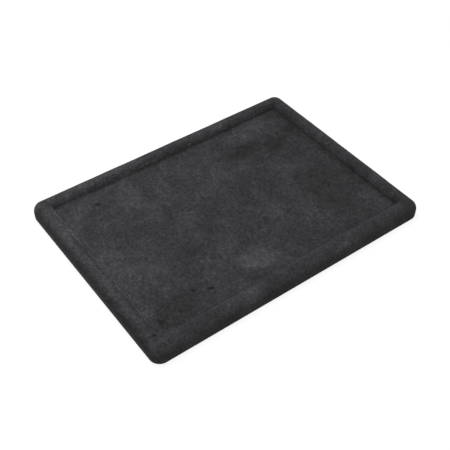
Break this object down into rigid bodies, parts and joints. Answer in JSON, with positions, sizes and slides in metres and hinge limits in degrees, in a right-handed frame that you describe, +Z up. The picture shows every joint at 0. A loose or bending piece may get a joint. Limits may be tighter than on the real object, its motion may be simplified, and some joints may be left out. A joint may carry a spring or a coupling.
{
  "type": "jewelry tray",
  "caption": "Low rectangular jewelry tray wrapped in charcoal microfibre suede, with a half-round rim, rounded corners and a sunk padded floor for laying out rings and other small pieces.",
  "frame": {"origin": "middle of the underside, on the surface that the tray stands on", "axes": "+X along the length to the right, +Y from front to back, +Z up"},
  "size_m": [0.3, 0.22, 0.0171],
  "materials": {
    "microfibre": "matte",
    "fibreboard": "matte",
    "greyboard": "matte",
    "foam": "matte",
    "steel": "satin",
    "backing": "matte"
  },
  "bodies": {
    "root": {"base_board": "fibreboard", "front_rail": "fibreboard", "back_rail": "fibreboard", "left_rail": "fibreboard", "right_rail": "fibreboard", "base_brads": "steel", "corner_brads": "steel", "rim_cover": "microfibre", "pad_board": "greyboard", "pad_foam": "foam", "pad_cover": "microfibre", "backing_sheet": "backing"}
  },
  "joints": []
}
